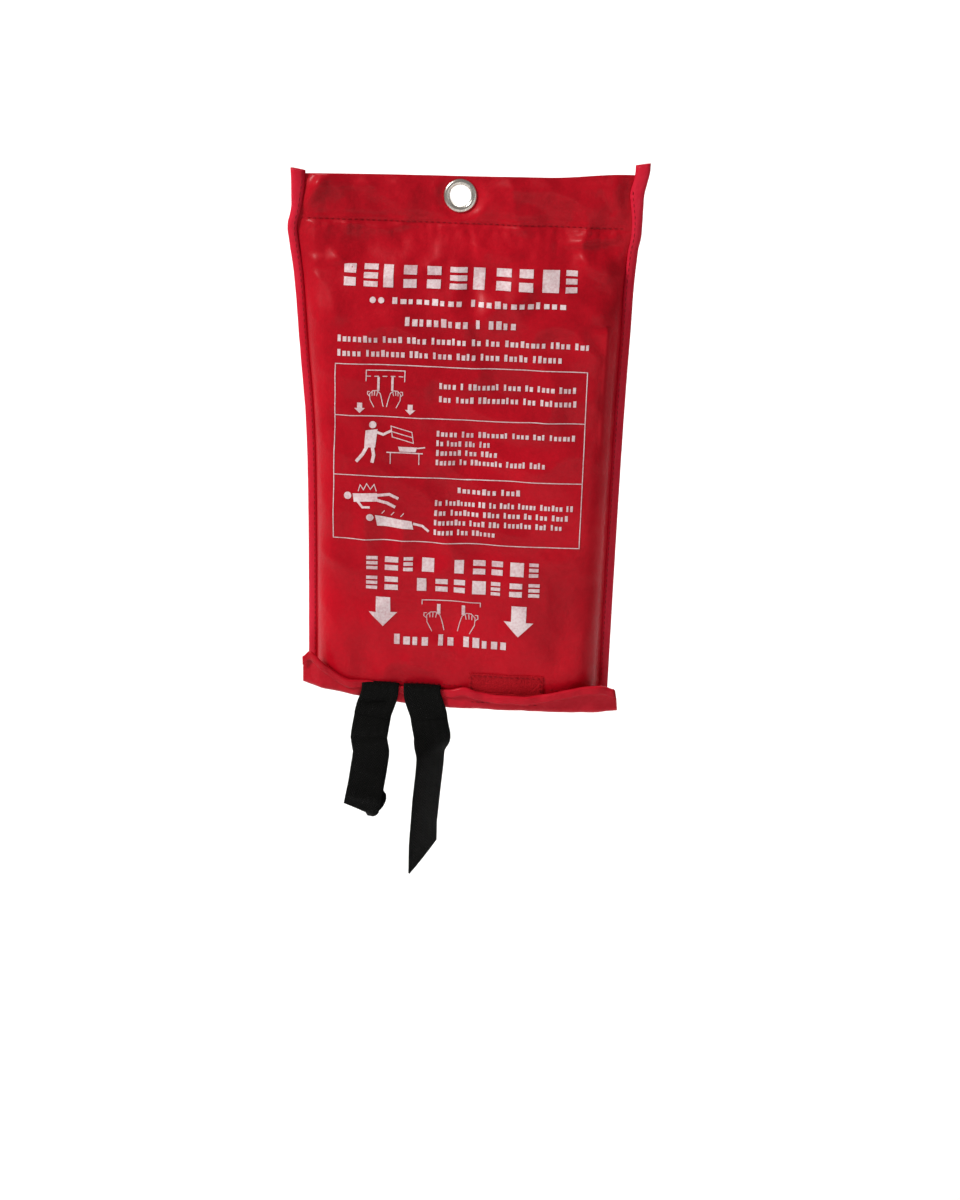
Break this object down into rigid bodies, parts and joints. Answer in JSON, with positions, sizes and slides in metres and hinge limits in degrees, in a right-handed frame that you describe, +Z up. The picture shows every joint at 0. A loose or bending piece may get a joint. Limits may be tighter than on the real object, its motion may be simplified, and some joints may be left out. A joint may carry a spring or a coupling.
{
  "type": "fire blanket in a hanging pouch",
  "caption": "Quick-release fire blanket: a fan-folded glass-cloth blanket in a soft hanging pouch with an eyelet, a closing lip and black pull tapes.",
  "frame": {"origin": "centre of the hanging eyelet, midway between the pouch's two panels", "axes": "+Z up, the printed front faces -Y, +X to the right of someone facing the front"},
  "size_m": [0.1831, 0.0321, 0.391],
  "materials": {
    "pouch_cloth": "satin",
    "binding_tape": "satin",
    "nickel": "satin",
    "red_thread": "matte",
    "hook_and_loop": "matte",
    "black_webbing": "matte",
    "black_thread": "matte",
    "glass_cloth": "matte",
    "glass_thread": "matte",
    "print_ink": "matte"
  },
  "bodies": {
    "pouch": {"front_panel": "pouch_cloth", "back_panel": "pouch_cloth", "left_binding": "binding_tape", "right_binding": "binding_tape", "left_binding_stitching": "red_thread", "right_binding_stitching": "red_thread", "header_stitching": "red_thread", "front_hem_stitching_left": "red_thread", "front_hem_stitching_right": "red_thread", "loop_strip": "hook_and_loop", "loop_strip_stitching": "red_thread", "eyelet_barrel": "nickel", "eyelet_washer": "nickel"},
    "lip": {"closing_lip": "pouch_cloth", "hook_strip": "hook_and_loop", "hook_strip_stitching": "red_thread"},
    "blanket": {"folded_blanket": "glass_cloth", "blanket_hem_stitching": "glass_thread", "left_tape_root": "black_webbing", "right_tape_root": "black_webbing", "left_tape_stitching": "black_thread", "right_tape_stitching": "black_thread"},
    "left_tape": {"left_tape": "black_webbing"},
    "left_tape_end": {"left_tape_end": "black_webbing"},
    "right_tape": {"right_tape": "black_webbing"},
    "right_tape_end": {"right_tape_end": "black_webbing"}
  },
  "joints": [
    {"name": "blanket_slide", "type": "slide", "parent": "pouch", "child": "blanket", "axis": [0, 0, -1], "range_m": [0, 0.21], "deforming": ["closing_lip", "hook_strip", "hook_strip_stitching"]},
    {"name": "lip_hinge", "type": "hinge", "parent": "pouch", "child": "lip", "pos_m": [0, 0.00045, -0.2683], "axis": [1, 0, 0], "range_deg": [0, 130]},
    {"name": "left_tape_swing", "type": "hinge", "parent": "blanket", "child": "left_tape", "pos_m": [-0.0345, -0.02225, -0.2642], "axis": [-1, 0, 0], "range_deg": [0, 90]},
    {"name": "left_tape_bend", "type": "hinge", "parent": "left_tape", "child": "left_tape_end", "pos_m": [-0.0403, -0.02225, -0.2965], "axis": [-1, 0, 0], "range_deg": [-60, 90]},
    {"name": "right_tape_swing", "type": "hinge", "parent": "blanket", "child": "right_tape", "pos_m": [-0.0119, -0.02225, -0.2642], "axis": [-1, 0, 0], "range_deg": [0, 90]},
    {"name": "right_tape_bend", "type": "hinge", "parent": "right_tape", "child": "right_tape_end", "pos_m": [-0.0054, -0.02225, -0.2965], "axis": [-1, 0, 0], "range_deg": [-60, 90]}
  ],
  "couplings": [
    {"joint": "lip_hinge", "follows": "blanket_slide", "rad_per_m": 10.804}
  ]
}
